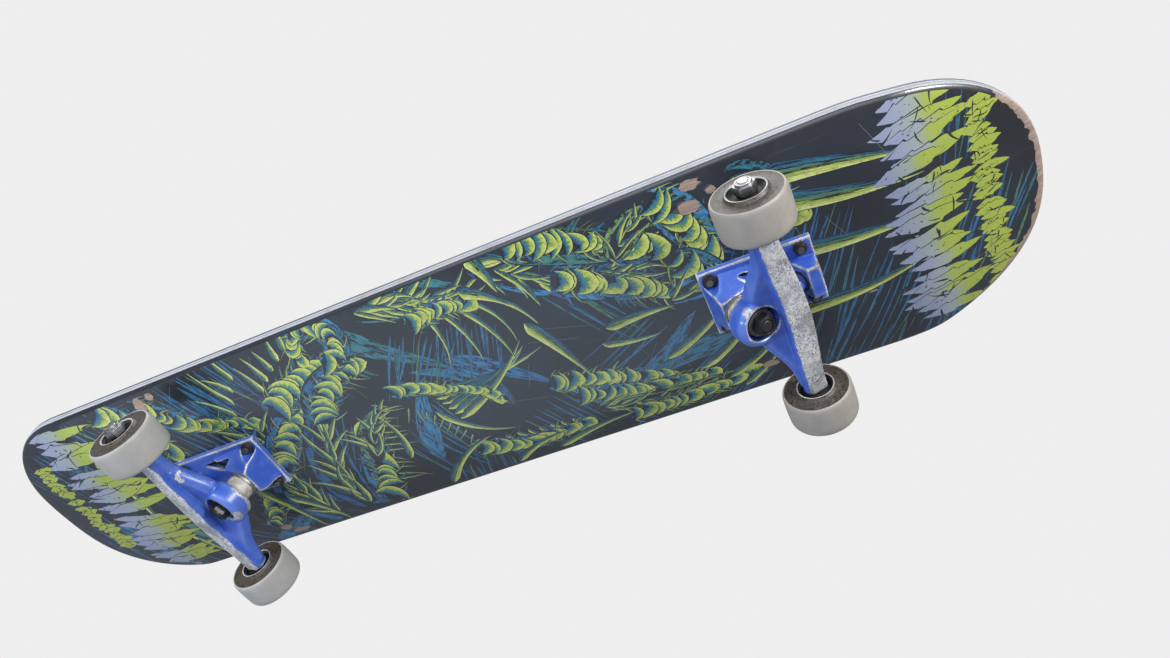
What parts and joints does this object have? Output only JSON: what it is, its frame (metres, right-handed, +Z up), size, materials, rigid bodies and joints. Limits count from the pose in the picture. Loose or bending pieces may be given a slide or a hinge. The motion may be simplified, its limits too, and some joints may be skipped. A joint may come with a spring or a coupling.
{
  "type": "skateboard",
  "caption": "Complete street skateboard: seven-ply concave deck with kicked ends, grip tape, two steering trucks and urethane wheels on ball bearings.",
  "frame": {"origin": "on the floor under the middle of the deck; the wheels rest on z = 0", "axes": "+X to the nose, +Y to the rider's left when facing the nose, +Z up"},
  "size_m": [0.846, 0.2032, 0.102],
  "materials": {
    "printed_ply": "dark printed film under gloss lacquer, scratched",
    "maple_ply": "raw maple veneer edge",
    "dyed_ply": "dyed maple veneer edge",
    "grip_tape": "coarse black grit",
    "painted_casting": "blue paint on cast aluminium, chipped and ground",
    "pivot_plastic": "black plastic",
    "worn_steel": "dark rusty steel",
    "dark_steel": "dark steel",
    "bright_steel": "bright zinc plated steel",
    "black_steel": "black oxide steel",
    "bushing_urethane": "dirty white urethane",
    "wheel_urethane": "warm white urethane, scuffed",
    "shield_rubber": "black rubber seal",
    "bearing_steel": "polished bearing steel"
  },
  "bodies": {
    "deck": {"deck_ply_1": "printed_ply", "deck_ply_2": "dyed_ply", "deck_ply_3": "maple_ply", "deck_ply_4": "maple_ply", "deck_ply_5": "maple_ply", "deck_ply_6": "dyed_ply", "deck_ply_7": "maple_ply", "front_baseplate": "painted_casting", "front_board_side_bushing": "bushing_urethane", "front_board_side_washer": "dark_steel", "front_deck_bolts": "black_steel", "front_deck_nuts": "black_steel", "front_kingpin": "worn_steel", "front_kingpin_nut": "worn_steel", "front_pivot_cup": "pivot_plastic", "front_road_side_bushing": "bushing_urethane", "front_road_side_washer": "dark_steel", "grip_tape": "grip_tape", "rear_baseplate": "painted_casting", "rear_board_side_bushing": "bushing_urethane", "rear_board_side_washer": "dark_steel", "rear_deck_bolts": "black_steel", "rear_deck_nuts": "black_steel", "rear_kingpin": "worn_steel", "rear_kingpin_nut": "worn_steel", "rear_pivot_cup": "pivot_plastic", "rear_road_side_bushing": "bushing_urethane", "rear_road_side_washer": "dark_steel"},
    "front_hanger": {"front_axle": "bright_steel", "front_axle_nuts": "bright_steel", "front_bearing_spacers": "bright_steel", "front_hanger": "painted_casting", "front_left_bearing_inner_rings": "bearing_steel", "front_right_bearing_inner_rings": "bearing_steel", "front_speed_washers": "bright_steel"},
    "front_left_wheel": {"front_left_bearing_outer_rings": "bearing_steel", "front_left_bearing_shields": "shield_rubber", "front_left_wheel": "wheel_urethane"},
    "front_left_balls": {"front_left_bearing_balls": "bearing_steel"},
    "front_right_wheel": {"front_right_bearing_outer_rings": "bearing_steel", "front_right_bearing_shields": "shield_rubber", "front_right_wheel": "wheel_urethane"},
    "front_right_balls": {"front_right_bearing_balls": "bearing_steel"},
    "rear_hanger": {"rear_axle": "bright_steel", "rear_axle_nuts": "bright_steel", "rear_bearing_spacers": "bright_steel", "rear_hanger": "painted_casting", "rear_left_bearing_inner_rings": "bearing_steel", "rear_right_bearing_inner_rings": "bearing_steel", "rear_speed_washers": "bright_steel"},
    "rear_left_wheel": {"rear_left_bearing_outer_rings": "bearing_steel", "rear_left_bearing_shields": "shield_rubber", "rear_left_wheel": "wheel_urethane"},
    "rear_left_balls": {"rear_left_bearing_balls": "bearing_steel"},
    "rear_right_wheel": {"rear_right_bearing_outer_rings": "bearing_steel", "rear_right_bearing_shields": "shield_rubber", "rear_right_wheel": "wheel_urethane"},
    "rear_right_balls": {"rear_right_bearing_balls": "bearing_steel"}
  },
  "joints": [
    {"name": "front_steer", "type": "hinge", "parent": "deck", "child": "front_hanger", "pos_m": [0.2125, 0, 0.0326], "axis": [0.8829, 0, 0.4695], "range_deg": [-12, 12], "stiffness_Nm_per_rad": 30, "deforming": ["front_board_side_bushing", "front_road_side_bushing"]},
    {"name": "front_left_spin", "type": "hinge", "parent": "front_hanger", "child": "front_left_wheel", "pos_m": [0.23645, 0.081, 0.0243], "axis": [0, 1, 0], "continuous": true},
    {"name": "front_left_ball_spin", "type": "hinge", "parent": "front_hanger", "child": "front_left_balls", "pos_m": [0.23645, 0.081, 0.0243], "axis": [0, 1, 0], "continuous": true},
    {"name": "front_right_spin", "type": "hinge", "parent": "front_hanger", "child": "front_right_wheel", "pos_m": [0.23645, -0.081, 0.0243], "axis": [0, 1, 0], "continuous": true},
    {"name": "front_right_ball_spin", "type": "hinge", "parent": "front_hanger", "child": "front_right_balls", "pos_m": [0.23645, -0.081, 0.0243], "axis": [0, 1, 0], "continuous": true},
    {"name": "rear_steer", "type": "hinge", "parent": "deck", "child": "rear_hanger", "pos_m": [-0.2125, 0, 0.0326], "axis": [-0.8829, 0, 0.4695], "range_deg": [-12, 12], "stiffness_Nm_per_rad": 30, "deforming": ["rear_board_side_bushing", "rear_road_side_bushing"]},
    {"name": "rear_left_spin", "type": "hinge", "parent": "rear_hanger", "child": "rear_left_wheel", "pos_m": [-0.23645, 0.081, 0.0243], "axis": [0, 1, 0], "continuous": true},
    {"name": "rear_left_ball_spin", "type": "hinge", "parent": "rear_hanger", "child": "rear_left_balls", "pos_m": [-0.23645, 0.081, 0.0243], "axis": [0, 1, 0], "continuous": true},
    {"name": "rear_right_spin", "type": "hinge", "parent": "rear_hanger", "child": "rear_right_wheel", "pos_m": [-0.23645, -0.081, 0.0243], "axis": [0, 1, 0], "continuous": true},
    {"name": "rear_right_ball_spin", "type": "hinge", "parent": "rear_hanger", "child": "rear_right_balls", "pos_m": [-0.23645, -0.081, 0.0243], "axis": [0, 1, 0], "continuous": true}
  ],
  "couplings": [
    {"joint": "front_left_ball_spin", "follows": "front_left_spin", "ratio": 0.6323},
    {"joint": "front_right_ball_spin", "follows": "front_right_spin", "ratio": 0.6323},
    {"joint": "rear_left_ball_spin", "follows": "rear_left_spin", "ratio": 0.6323},
    {"joint": "rear_right_ball_spin", "follows": "rear_right_spin", "ratio": 0.6323}
  ]
}
